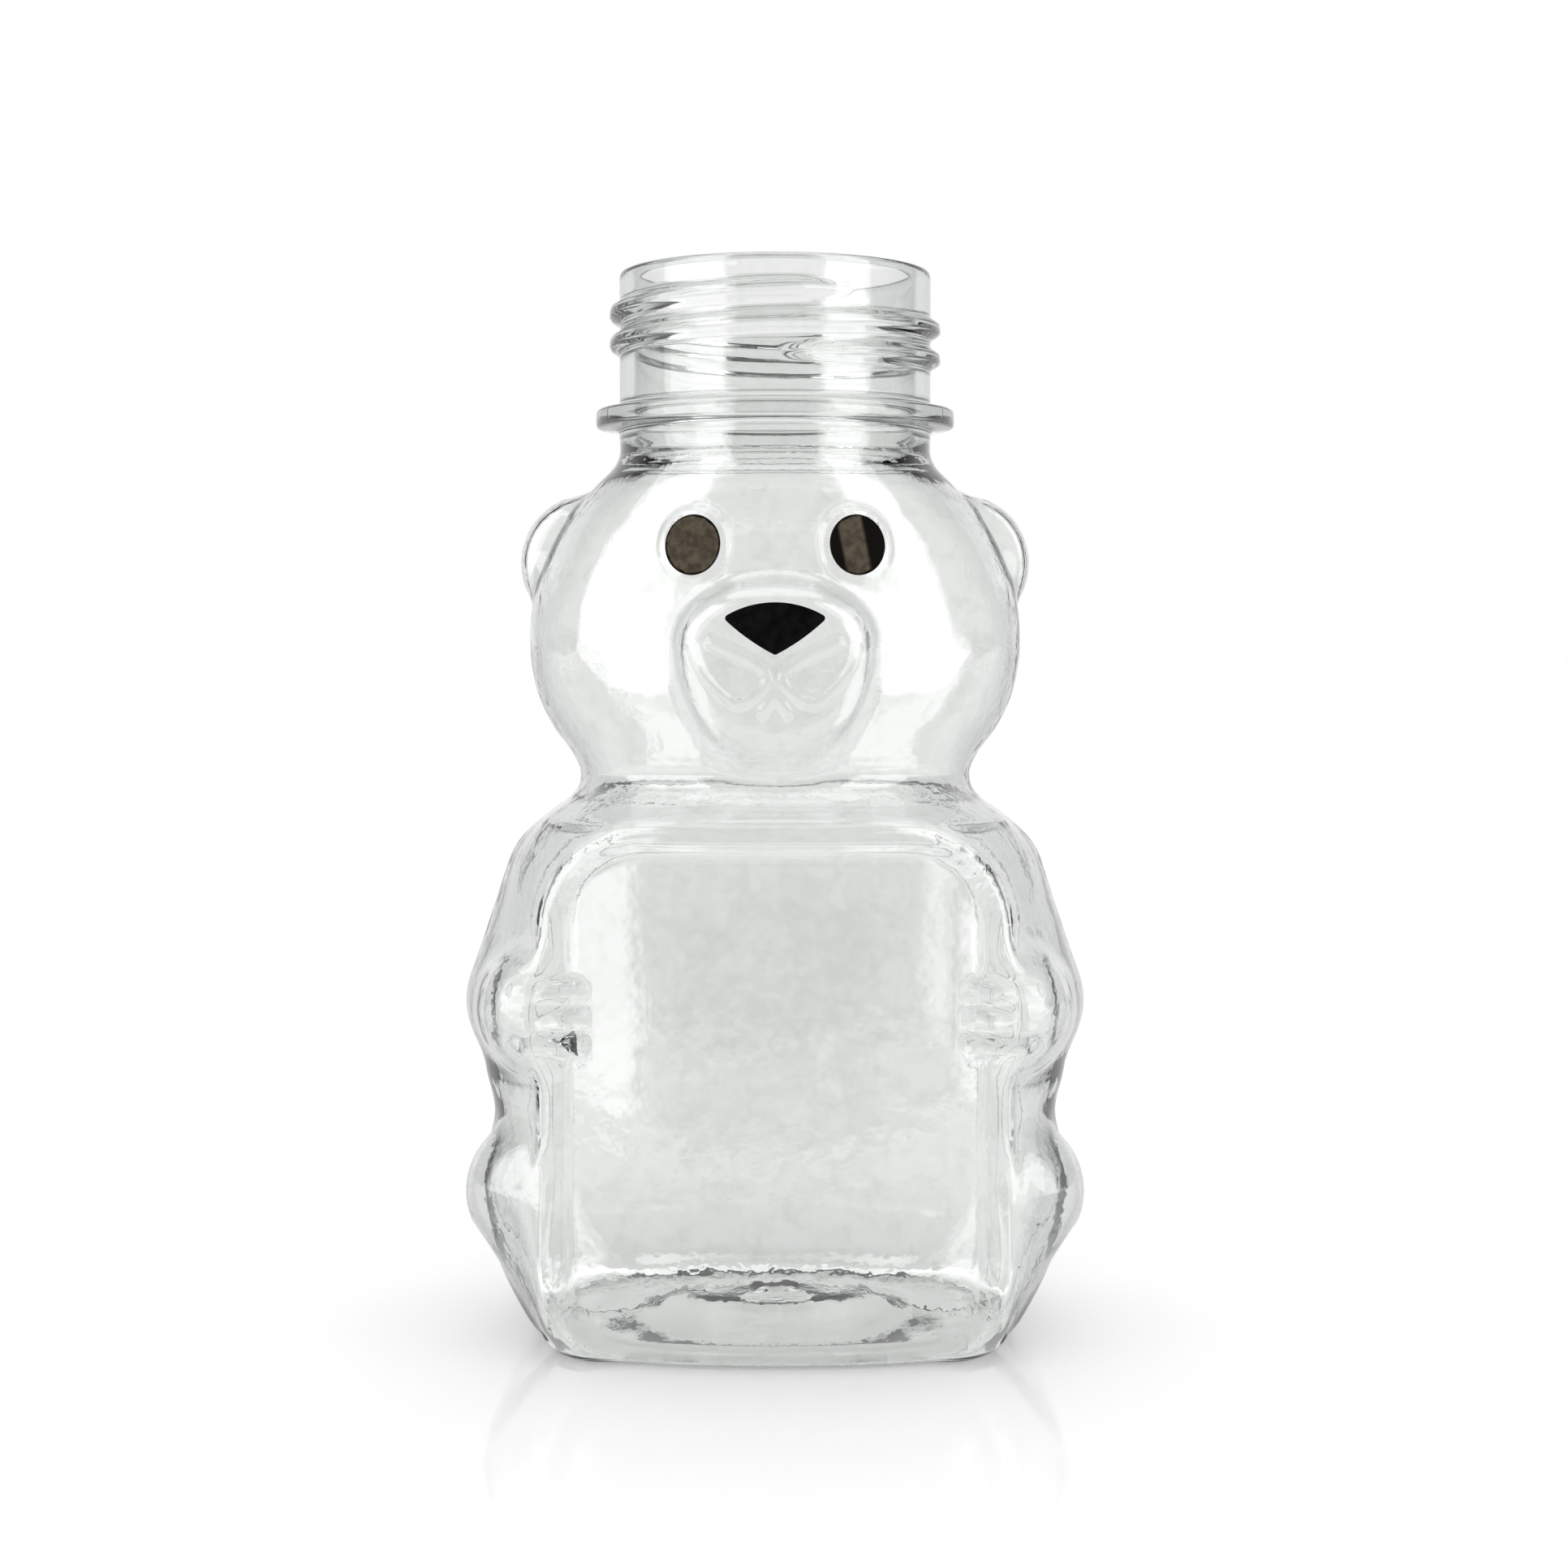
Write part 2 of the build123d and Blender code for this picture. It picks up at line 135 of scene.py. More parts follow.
def along_levels(level, column):
    """A smooth curve through one column of the table."""
    levels, values = BODY_LEVELS[:, 0], BODY_LEVELS[:, column]
    slopes = np.gradient(values, levels)
    at = np.clip(np.searchsorted(levels, level) - 1, 0, len(levels) - 2)
    rise = levels[at + 1] - levels[at]
    t = np.clip((level - levels[at]) / rise, 0, 1)
    return (
        values[at] * (1 + 2 * t) * (1 - t) ** 2
        + values[at + 1] * t * t * (3 - 2 * t)
        + slopes[at] * rise * t * (1 - t) ** 2
        - slopes[at + 1] * rise * t * t * (1 - t)
    )


def heel(level):
    """How much the rounded heel takes off the outline, near the floor."""
    under = np.clip(HEEL_ROUND - level, 0, HEEL_ROUND)
    return HEEL_ROUND - np.sqrt(HEEL_ROUND**2 - under**2)


def trunk_radius(turn, level):
    """How far the body or head reaches from the axis, in one direction at one level."""
    power = along_levels(level, 3)
    across = np.abs(np.cos(turn)) / along_levels(level, 1)
    along = np.abs(np.sin(turn)) / along_levels(level, 2)
    return (across**power + along**power) ** (-1 / power) - heel(level)


for part, part_level in (("belly", 37.0), ("waist", 62.4), ("cheeks", 77.9)):
    print("width at the", part, round(2 * trunk_radius(0, part_level), 1), "mm")

# %% [markdown]
# ## Joining fields softly
#
# `join` keeps whichever field is deeper, and rounds the valley between the two over `soft` millimetres.
# `cut` is the same thing turned round: it keeps only what is inside the first field and outside the
# second. Limbs are balls that grow or shrink along a line, which is how a doll maker rolls clay.

# %% Tools for the field
FAR_OUTSIDE = -9.0


def join(a, b, soft):
    """Both shapes, with the valley between them rounded."""
    share = np.clip(0.5 + 0.5 * (a - b) / soft, 0, 1)
    return b + (a - b) * share + soft * share * (1 - share)


def cut(a, b, soft):
    """What is inside the first shape and outside the second, with the edge between them rounded."""
    return -join(-a, b, soft)


def limb(x, y, z, start, end, start_radius, end_radius):
    """Depth inside a ball that moves from start to end while its radius changes."""
    reach = np.array(end) - np.array(start)
    along = (x - start[0]) * reach[0] + (y - start[1]) * reach[1] + (z - start[2]) * reach[2]
    t = np.clip(along / (reach @ reach), 0, 1)
    away = np.sqrt(
        (x - start[0] - t * reach[0]) ** 2
        + (y - start[1] - t * reach[1]) ** 2
        + (z - start[2] - t * reach[2]) ** 2
    )
    return start_radius + (end_radius - start_radius) * t - away


def oval(a, b, half_a, half_b):
    """Depth inside an oval, measured roughly at right angles to its edge."""
    share = np.sqrt((a / half_a) ** 2 + (b / half_b) ** 2) + 1e-9
    steep = np.sqrt((a / half_a**2) ** 2 + (b / half_b**2) ** 2) + 1e-9
    return share * (1 - share) / steep


def rounded_box(a, b, half_a, half_b, corner):
    """Depth inside a rectangle with round corners."""
    da, db = np.abs(a) - half_a + corner, np.abs(b) - half_b + corner
    outside = np.hypot(np.maximum(da, 0), np.maximum(db, 0))
    return corner - outside - np.minimum(np.maximum(da, db), 0)


def ease(share):
    """From 0 to 1 with a soft start and end."""
    return share * share * (3 - 2 * share)


print("two skins that touch, joined over 2 mm, fill to a depth of", join(0.0, 0.0, 2.0), "mm")

# %% [markdown]
# ## Limbs, ears and muzzle
#
# The bear is the same on both sides, so `x` is the distance from its middle plane. The arms come down
# from the shoulders and the paws rest at the edge of the label panel, with three finger ribs each. The
# ears are flat discs with a cup in front. The muzzle is an egg-shaped stump with a domed face.

# %% Arms, legs and ears
SHOULDER, ELBOW, PAW = (23.6, -2.0, 51.0), (26.1, -5.0, 37.6), (24.4, -13.9, 38.0)
SHOULDER_RADIUS, ELBOW_RADIUS, PAW_RADIUS, ELBOW_SOFT = 6.6, 8.0, 7.9, 2.0
KNEE, SOLE = (25.8, -10.8, 17.4), (19.8, -15.4, 5.5)
KNEE_RADIUS, SOLE_RADIUS = 8.2, 5.4
FINGER_START, FINGER_END = (22.4, -20.9, 40.6), (27.0, -20.3, 40.6)
FINGERS, FINGER_PITCH, FINGER_RADIUS = 3, 2.85, 1.1
EAR_CENTER, EAR_RADIUS, EAR_HALF_THICKNESS = (21.1, 1.2, 86.4), 7.8, 4.4
CUP_RADIUS, CUP_DEPTH, CUP_SOFT = 6.3, 2.4, 0.6


def arms_and_legs(x, y, z):
    upper_arm = limb(x, y, z, SHOULDER, ELBOW, SHOULDER_RADIUS, ELBOW_RADIUS)
    forearm = limb(x, y, z, ELBOW, PAW, ELBOW_RADIUS, PAW_RADIUS)
    leg = limb(x, y, z, KNEE, SOLE, KNEE_RADIUS, SOLE_RADIUS)
    return join(upper_arm, forearm, ELBOW_SOFT), leg


def fingers(x, y, z):
    ribs = np.full_like(x, FAR_OUTSIDE)
    for step in range(FINGERS):
        drop = FINGER_PITCH * step
        start = (FINGER_START[0], FINGER_START[1], FINGER_START[2] - drop)
        end = (FINGER_END[0], FINGER_END[1], FINGER_END[2] - drop)
        ribs = np.maximum(ribs, limb(x, y, z, start, end, FINGER_RADIUS, FINGER_RADIUS))
    return ribs


def ears(x, y, z):
    """A flat disc, with a ball cut out of its front."""
    across, along, up = x - EAR_CENTER[0], y - EAR_CENTER[1], z - EAR_CENTER[2]
    disc = oval(np.hypot(across, up), along, EAR_RADIUS, EAR_HALF_THICKNESS)
    ball = (CUP_RADIUS**2 + CUP_DEPTH**2) / (2 * CUP_DEPTH)
    face = EAR_HALF_THICKNESS * sqrt(1 - (CUP_RADIUS / EAR_RADIUS) ** 2)
    hollow = ball - np.sqrt(across**2 + (along + face + ball - CUP_DEPTH) ** 2 + up**2)
    return cut(disc, hollow, CUP_SOFT)


print("across both ears:", round(2 * (EAR_CENTER[0] + EAR_RADIUS), 1), "mm")

# %% [markdown]
# The muzzle's face is part of a large ball, so that the nose lies on a true dome. Its relief is a few
# lines: two cheek ridges that meet under the nose, spread again to the lower lip, and the lip itself.

# %% Muzzle, mouth and eye pads
MUZZLE_LEVEL, MUZZLE_TIP, MUZZLE_HEIGHT, DOME = 77.5, 24.3, 9.5, 38.0
# Half width, reach up and reach down, where the stump starts and at its face
ROOT_WIDE, ROOT_UP, ROOT_DOWN = 11.9, 10.6, 17.0
FACE_WIDE, FACE_UP, FACE_DOWN = 9.4, 5.1, 10.3
MUZZLE_TAPER, MUZZLE_EDGE_SOFT = 0.93, 1.3
MOUTH_LINES = [
    [
        (6.6, 77.6),
        (3.9, 76.4),
        (1.8, 75.3),
        (0.9, 74.6),
        (0.75, 73.4),
        (1.3, 72.6),
        (3.0, 71.4),
        (4.2, 71.2),
    ],
    [(0.0, 72.1), (0.6, 71.5), (1.3, 70.4)],
    [(4.2, 71.2), (5.2, 71.8), (7.0, 73.6), (8.2, 75.6), (8.6, 77.0)],
]
LINE_HALF_WIDTH, LINE_FOOT, LINE_HEIGHT = 0.48, 1.6, 0.30
PAD_HALF_WIDTH, PAD_HALF_HEIGHT, PAD_TAPER, PAD_EDGE_SOFT = 3.8, 4.0, 0.27, 0.5
EYE_CENTER, EYE_TURN, EYE_TILT = (8.7, -19.0, 87.9), radians(16), radians(8)
EYE_FACING = (sin(EYE_TURN) * cos(EYE_TILT), -cos(EYE_TURN) * cos(EYE_TILT), sin(EYE_TILT))


def muzzle(x, y, z):
    """A stump that narrows to its face, and the face is part of a large ball."""
    up = z - MUZZLE_LEVEL
    share = np.clip((-y - MUZZLE_TIP + MUZZLE_HEIGHT) / MUZZLE_HEIGHT, 0, 1.2)
    half_width = ROOT_WIDE + (FACE_WIDE - ROOT_WIDE) * share
    above, below = ROOT_UP + (FACE_UP - ROOT_UP) * share, ROOT_DOWN + (FACE_DOWN - ROOT_DOWN) * share
    half_height = np.where(up > 0, above, below)
    dome = DOME - np.sqrt(x**2 + (y - DOME + MUZZLE_TIP) ** 2 + up**2)
    return cut(dome, -MUZZLE_TAPER * oval(x, up, half_width, half_height), MUZZLE_EDGE_SOFT)


def rounded_line(points):
    """The same line with its corners cut off twice, which makes it a smooth curve."""
    points = np.array(points)
    for _ in range(2):
        near, far = 0.75 * points[:-1] + 0.25 * points[1:], 0.25 * points[:-1] + 0.75 * points[1:]
        middle = np.stack([near, far], axis=1).reshape(-1, 2)
        points = np.concatenate([points[:1], middle, points[-1:]])
    return points


def mouth_relief(x, z):
    """Height of the mouth's lines above the muzzle's face."""
    away = np.full_like(x, -FAR_OUTSIDE)
    for line in map(rounded_line, MOUTH_LINES):
        for (x0, z0), (x1, z1) in zip(line, line[1:]):
            span = (x1 - x0) ** 2 + (z1 - z0) ** 2
            t = np.clip(((x - x0) * (x1 - x0) + (z - z0) * (z1 - z0)) / span, 0, 1)
            away = np.minimum(away, np.hypot(x - x0 - t * (x1 - x0), z - z0 - t * (z1 - z0)))
    share = np.clip(away / LINE_HALF_WIDTH / LINE_FOOT, 0, 1)
    return LINE_HEIGHT * (1 - share**2) ** 2


def eye_pad(x, y, z):
    """A flat pad whose plane is turned out and tipped up with the face."""
    dx, dy, dz = x - EYE_CENTER[0], y - EYE_CENTER[1], z - EYE_CENTER[2]
    depth = -(dx * EYE_FACING[0] + dy * EYE_FACING[1] + dz * EYE_FACING[2])
    across = dx * cos(EYE_TURN) + dy * sin(EYE_TURN)
    rim = oval(across, dz / cos(EYE_TILT), PAD_HALF_WIDTH, PAD_HALF_HEIGHT) + PAD_TAPER * depth
    return cut(depth, -rim, PAD_EDGE_SOFT)


print("the muzzle ends", MUZZLE_TIP, "mm in front of the axis")
print("the mouth has", len(MOUTH_LINES), "lines on each side")

# %% [markdown]
# ## Label panels
#
# A label goes on a flat or gently curved panel, sunk a little so that nothing rubs it. Front and back are
# alike: a raised frame that ends the chest, and a shallow panel cut into it. Its walls lean outward, as the
# *draft* that lets a moulding out of its mould. The base is added later, as part of the mesh.

# %% Label panels
PANEL_MIDDLE, PANEL_HALF_WIDTH, PANEL_HALF_HEIGHT, PANEL_CORNER = 28.9, 22.8, 26.8, 9.0
PANEL_CURVE, PANEL_HALF_DEPTH, PANEL_DRAFT = 66.0, 23.2, radians(27)
PANEL_FOOT_ROUND, PANEL_EDGE_SOFT = 8.0, 0.9
FRAME_MIDDLE, FRAME_HALF_WIDTH, FRAME_HALF_HEIGHT, FRAME_CORNER = 26.6, 25.6, 31.8, 12.0


def panel_frame(x, y, z):
    """The raised frame round a panel, which ends the chest in front and behind."""
    front = np.hypot(x, np.abs(y) + PANEL_CURVE - along_levels(z, 2)) - PANEL_CURVE
    outline = rounded_box(x, z - FRAME_MIDDLE, FRAME_HALF_WIDTH, FRAME_HALF_HEIGHT, FRAME_CORNER)
    return cut(outline, front, PANEL_EDGE_SOFT) - heel(z)


def label_panel(x, y, z):
    """What a panel takes away: in front of a curved floor, inside a drafted outline."""
    out = np.abs(y)
    floor = np.hypot(x, out + PANEL_CURVE - PANEL_HALF_DEPTH) - PANEL_CURVE
    under = np.clip(PANEL_FOOT_ROUND - z, 0, PANEL_FOOT_ROUND)
    floor = floor + PANEL_FOOT_ROUND - np.sqrt(np.maximum(PANEL_FOOT_ROUND**2 - under**2, 0))
    growth = np.clip(floor, -1, 3) * tan(PANEL_DRAFT)
    inside = rounded_box(
        x, z - PANEL_MIDDLE, PANEL_HALF_WIDTH + growth, PANEL_HALF_HEIGHT + growth, PANEL_CORNER
    )
    return cut(floor, -inside * cos(PANEL_DRAFT), PANEL_EDGE_SOFT)


print("a panel is", 2 * PANEL_HALF_WIDTH, "by", 2 * PANEL_HALF_HEIGHT, "mm")

# %% [markdown]
# ## The whole bear
#
# Every part now goes into one field, each with its own softness in millimetres. The same field serves the
# cavity, with softer joins and no mouth, because the inside of a blown wall never touches the mould.

# %% The whole bear's field
FRAME_SOFT, ARM_SOFT, LEG_SOFT, PANEL_SOFT = 1.6, 1.3, 1.8, 0.65
FINGER_SOFT, EAR_SOFT, MUZZLE_SOFT, PAD_SOFT = 0.7, 0.9, 1.3, 0.5
EXTRA_BLUR, FINGER_SINK, PAD_SINK = 1.2, 0.5, 0.3
FACE_BACK, FACE_BACK_SOFT = 10.0, 1.0
MOUTH_FRONT, MOUTH_FADE = 19.0, 2.0


def bear_depth(x, y, z, trunk, relief):
    """Depth inside the bear. relief is 1 on the outside, and less inside the wall, which is softer."""
    side = np.abs(x)
    lost = 1 - relief
    blur = 1 + EXTRA_BLUR * lost
    arm, leg = arms_and_legs(side, y, z)
    bear = join(trunk, panel_frame(x, y, z), FRAME_SOFT)
    bear = join(join(bear, arm, ARM_SOFT * blur), leg, LEG_SOFT * blur)
    bear = cut(bear, label_panel(x, y, z), PANEL_SOFT * blur)
    bear = join(bear, fingers(side, y, z) - FINGER_SINK * lost, FINGER_SOFT)
    bear = join(bear, ears(side, y, z), EAR_SOFT)
    bear = join(bear, cut(muzzle(x, y, z), y + FACE_BACK, FACE_BACK_SOFT), MUZZLE_SOFT)
    front = np.clip((-y - MOUTH_FRONT) / MOUTH_FADE, 0, 1)
    bear = bear + relief * mouth_relief(side, z) * front
    pad = cut(eye_pad(side, y, z), y + FACE_BACK, FACE_BACK_SOFT)
    return join(bear, pad - PAD_SINK * lost, PAD_SOFT)


# %% [markdown]
# ## From field to mesh
#
# The bottle is one closed skin: up the outside, over the rim and down the inside. So it can be made from
# a single tube. `create_cone` makes the tube, `subdivide_edges` gives it its rings, and each ring is then
# carried to its place: neck rings to a lathe profile, body rings to where the field meets the wanted
# depth. The columns crowd together where the bear has detail, on the face, paws and ears, and spread out
# at the back.

# %% Columns round the bottle
COLUMNS = 268
# Degrees from the front, and how closely the columns stand there
CROWDING = [
    (0, 2.3),
    (20, 2.3),
    (26, 1.2),
    (36, 1.2),
    (42, 1.6),
    (62, 1.6),
    (72, 1.2),
    (108, 1.2),
    (120, 1.0),
    (145, 0.7),
    (180, 0.5),
]


def column_turns():
    """Directions of the columns, from the middle of the back all round, closer where there is detail."""
    fine = np.linspace(-180, 180, 3601)[:-1]
    weight = np.interp(np.abs(fine), *zip(*CROWDING))
    total = np.concatenate([[0], np.cumsum(weight)])
    wanted = np.arange(COLUMNS) / COLUMNS * total[-1]
    turns = np.interp(wanted, total, np.append(fine, 180))
    return np.radians(turns - 90)


TURNS = column_turns()
print("columns", COLUMNS, "closest", round(degrees(np.diff(TURNS).min()), 2), "degrees")


# %% The skin's distance from the axis
SEARCH_START, SEARCH_END, SEARCH_STEP, HALVINGS = 38.0, 4.0, 0.5, 12


def trunk_steepness(turn, level):
    """The cosine of the trunk's slope, which turns a distance from the axis into a depth."""
    rise = 0.3
    change = (trunk_radius(turn, level + rise) - trunk_radius(turn, level - rise)) / (2 * rise)
    return 1 / np.sqrt(1 + change**2)


def skin_radius(levels, inset, relief):
    """For each level and column, where the field reaches the inset, from outside in."""
    level, turn = np.meshgrid(levels, TURNS, indexing="ij")
    radius, slope = trunk_radius(turn, level), trunk_steepness(turn, level)
    east, north = np.cos(turn), np.sin(turn)

    def depth(r):
        return bear_depth(r * east, r * north, level, (radius - r) * slope, relief) - inset

    far = np.full_like(level, SEARCH_START)
    near = far.copy()
    found = np.zeros(level.shape, bool)
    while not found.all() and near.min() > SEARCH_END:
        trial = np.where(found, near, near - SEARCH_STEP)
        inside = depth(trial) > 0
        far = np.where(found, far, np.where(inside, near, trial))
        near = trial
        found = found | inside
    for _ in range(HALVINGS):
        middle = (near + far) / 2
        inside = depth(middle) > 0
        near, far = np.where(inside, middle, near), np.where(inside, far, middle)
    return near


# %% [markdown]
# ## The neck
#
# The neck is moulded before the bottle is blown, so it is exact: a ring to hold it by, a thread and a
# plain rim. It is a lathe profile, and the thread is pushed out of it: two turns that rise to the right
# and fade at both ends.

# %% Neck profile and thread
NECK_RADIUS, BORE_RADIUS = 17.55, 15.9
THREAD_HEIGHT, THREAD_PITCH, THREAD_START, THREAD_TURNS = 1.1, 3.35, 108.4, 2.08
THREAD_WIDTH, CREST_SHARE, FLANK_SHARE, THIN_SHARE = 1.25, 0.35, 0.72, 0.45
FADE_IN, FADE_OUT = 34, 26


def ring_profile():
    """(level, radius) up and round the neck ring, with rounded root and edge."""
    return [
        (100.10, 17.55),
        (100.70, 17.58),
        (101.05, 17.72),
        (101.28, 18.05),
        (101.38, 18.45),
        (101.42, 19.10),
        (101.46, 19.65),
        (101.52, 19.95),
        (101.66, 20.12),
        (101.90, 20.20),
        (102.50, 20.20),
        (103.10, 20.20),
        (103.34, 20.12),
        (103.48, 19.95),
        (103.54, 19.65),
        (103.58, 19.10),
        (103.62, 18.45),
        (103.72, 18.05),
        (103.95, 17.72),
        (104.30, 17.58),
        (104.90, 17.55),
    ]


def rim_profile():
    """(level, radius) over the rim, from the outside of the neck to its bore."""
    return [
        (118.30, 17.55),
        (118.62, 17.50),
        (118.85, 17.36),
        (118.97, 17.14),
        (119.00, 16.90),
        (119.00, 16.50),
        (119.00, 16.14),
        (118.95, 15.98),
        (118.80, 15.90),
    ]


def thread_rise(levels):
    """How far the thread stands out of the neck, for each level and column."""
    level, turn = np.meshgrid(levels, TURNS, indexing="ij")
    from_front = (np.degrees(turn) + 90) % 360
    rise = np.zeros_like(level)
    for lap in range(3):
        travelled = from_front + 360 * lap
        away = np.abs(level - THREAD_START - THREAD_PITCH * travelled / 360)
        left = THREAD_TURNS * 360 - travelled
        fade = np.clip(travelled / FADE_IN, 0, 1) * np.clip(left / FADE_OUT, 0, 1)
        fade = np.where(left > 0, ease(fade), 0)
        width = THREAD_WIDTH * (THIN_SHARE + (1 - THIN_SHARE) * fade)
        share = np.clip((away - CREST_SHARE * width) / (FLANK_SHARE * width), 0, 1)
        rise = np.maximum(rise, THREAD_HEIGHT * fade * (1 - ease(share)))
    return rise


print("over the thread:", round(2 * (NECK_RADIUS + THREAD_HEIGHT), 1), "mm")


# %% [markdown]
# ## Rings of the outside
#
# Each ring of the tube needs a level, and levels crowd together where the bear has detail, as the columns
# do. Across the base, the rings are shares of the heel's outline. The base is pushed up, so that the bottle
# stands on a ring and doesn't rock, and the small bump in its middle is the mark of the moulding gate.

# %% Rings from the middle of the base to the rim
BASE_SHARES = [0.0, 0.07, 0.14, 0.2, 0.26, 0.32, 0.4, 0.48, 0.54, 0.6, 0.66, 0.72, 0.8, 0.9]
HEEL_LEVELS = [0.0, 0.05, 0.2, 0.5, 0.9, 1.4, 1.9]
# From one level to another, with so many rings
BANDS = [
    (2.4, 10, 11),
    (10, 34, 27),
    (34, 42, 18),
    (42, 48, 9),
    (48, 60, 32),
    (60, 64, 6),
    (64, 70, 10),
    (70, 78, 23),
    (78, 93, 28),
    (93, 99.4, 11),
]
outer_levels = np.concatenate(
    [HEEL_LEVELS] + [np.linspace(low, high, count, endpoint=False) for low, high, count in BANDS]
)
neck_levels = np.linspace(105.5, 117.9, 35)
HOLLOW_HALF_WIDTH, HOLLOW_HALF_DEPTH, HOLLOW_SLOPE, HOLLOW_HEIGHT = 15.5, 10.5, 4.6, 2.4
GATE_RADIUS, GATE_HEIGHT = 5.4, 0.9


def push_up(x, y):
    """Height of the base's hollow, with the round mark of the moulding gate in its middle."""
    share = np.clip(oval(x, y, HOLLOW_HALF_WIDTH, HOLLOW_HALF_DEPTH) / HOLLOW_SLOPE, 0, 1)
    gate = np.clip(1 - np.hypot(x, y) / GATE_RADIUS, 0, 1)
    return HOLLOW_HEIGHT * ease(share) + GATE_HEIGHT * ease(gate)


def base_rings(outline, shares, height):
    """Rings across the base, as shares of the heel's outline."""
    rings = []
    for share in shares:
        x, y = share * outline * np.cos(TURNS), share * outline * np.sin(TURNS)
        rings.append(np.stack([x, y, push_up(x, y) + height], axis=1))
    return rings


def lathe_rings(levels, radii):
    """Rings from levels and radii, a radius for each ring or for each ring and column."""
    radii = np.broadcast_to(np.asarray(radii, float).reshape(len(levels), -1), (len(levels), COLUMNS))
    return [
        np.stack([radius * np.cos(TURNS), radius * np.sin(TURNS), np.full(COLUMNS, level)], axis=1)
        for level, radius in zip(levels, radii)
    ]


outer_radius = skin_radius(outer_levels, 0.0, 1.0)
outside = base_rings(outer_radius[0], BASE_SHARES, 0.0)
outside += lathe_rings(outer_levels, outer_radius)
outside += lathe_rings(*zip(*ring_profile()))
outside += lathe_rings(neck_levels, NECK_RADIUS + thread_rise(neck_levels))
outside += lathe_rings(*zip(*rim_profile()))
print("rings outside:", len(outside))

# %% [markdown]
# ## The inside of the wall
#
# Blown plastic is never even. Where the tube was stretched most the wall is thinnest, and it carries slow
# ripples from the air that cooled it. They are what makes clear plastic look like plastic and not like
# nothing: they bend what is seen through it. So the inside is the same field at a depth of about 0.6 mm,
# with a few slow waves added, and without the crispness of the outside.

# %% Rings of the inside, from the rim down to the middle of the base
WALL, INNER_RELIEF, WAVE_HEIGHT = 0.6, 0.35, 0.06
BASE_WALL, INNER_HEEL_SHARE = 0.72, 0.985
BORE_LEVELS = [117.5, 112.0, 107.0, 102.0, 100.2, 99.2, 98.4]
BORE_RADII = [BORE_RADIUS] * 5 + [15.96, 16.12]
# Below the neck the bore widens into the blown wall
BLEND_START, BLEND_HEIGHT, BORE_FLARE = 95.2, 2.4, 0.5
INNER_SHARES = BASE_SHARES[::2] + [0.88]
inner_levels = np.concatenate([np.linspace(97.6, 60, 46)[:-1], np.linspace(60, 1.4, 48), [1.1, 0.85]])


def slow_waves(levels):
    """Uneven thickness of the wall, a sum of a few waves across the height and round the bottle."""
    level, turn = np.meshgrid(levels, TURNS, indexing="ij")
    return (
        0.30 * np.sin(level / 5.3 + 1.7 * np.sin(3 * turn))
        + 0.25 * np.sin(level / 2.9 + 2.2 * np.sin(2 * turn + 1.0) + 0.8)
        + 0.25 * np.sin(5 * turn + level / 7.1)
        + 0.20 * np.sin(11 * turn - level / 3.7 + 2.0)
    )


inner_radius = skin_radius(inner_levels, WALL, INNER_RELIEF) + WAVE_HEIGHT * slow_waves(inner_levels)
toward_bore = np.clip((inner_levels - BLEND_START) / BLEND_HEIGHT, 0, 1)[:, None]
inner_radius = inner_radius + (BORE_RADIUS + BORE_FLARE - inner_radius) * toward_bore**2
inside = lathe_rings(BORE_LEVELS, BORE_RADII)
inside += lathe_rings(inner_levels, inner_radius)
inside += reversed(base_rings(inner_radius[-1] * INNER_HEEL_SHARE, INNER_SHARES, BASE_WALL))
print("rings inside:", len(inside))


# %% [markdown]
# ## From rings to a skin
#
# A cone from Blender is a tube with open ends. After it is cut into as many rings as there are places, each
# vertex still knows its ring by its height and its column by its direction, so it can be sent to its place.
# The first and the last ring shrink to a point, where the doubles are merged, which closes the skin.

# %% Make the skin
def new_piece(name, shape, material):
    """A mesh object at the origin, in metres, from a bmesh in millimetres."""
    bmesh.ops.scale(shape, verts=shape.verts, vec=(MM, MM, MM))
    mesh = bpy.data.meshes.new(name)
    shape.to_mesh(mesh)
    shape.free()
    mesh.polygons.foreach_set("use_smooth", np.ones(len(mesh.polygons), bool))
    mesh.materials.append(material)
    piece = bpy.data.objects.new(name, mesh)
    bpy.context.scene.collection.objects.link(piece)
    return piece


def tube_through(rings):
    """A closed tube with one ring of vertices for each ring of places."""
    shape = bmesh.new()
    count = len(rings)
    bmesh.ops.create_cone(shape, segments=COLUMNS, radius1=1, radius2=1, depth=count - 1, cap_ends=False)
    upright = [e for e in shape.edges if abs(e.verts[0].co.z - e.verts[1].co.z) > 0.5]
    bmesh.ops.subdivide_edges(shape, edges=upright, cuts=count - 2, use_grid_fill=True)
    places = np.array(rings)
    for vert in shape.verts:
        ring = round(vert.co.z + (count - 1) / 2)
        column = round(np.arctan2(vert.co.y, vert.co.x) / (2 * pi) * COLUMNS) % COLUMNS
        vert.co = places[ring, column]
    bmesh.ops.remove_doubles(shape, verts=shape.verts, dist=1e-5)
    bmesh.ops.recalc_face_normals(shape, faces=shape.faces)
    return shape


print("rings in all:", len(outside) + len(inside))

# %% [markdown]
# ## Helpers for node trees
#
# A material is a tree of nodes, and most of the work is the same few steps: add a node, and link or set its
# inputs. A Map Range node on Smooth Step turns any measure, such as a height or an angle, into a soft mask.

# %% Node helpers
def add_node(tree, kind, **settings):
    node = tree.nodes.new(kind)
    for name, value in settings.items():
        setattr(node, name, value)
    return node


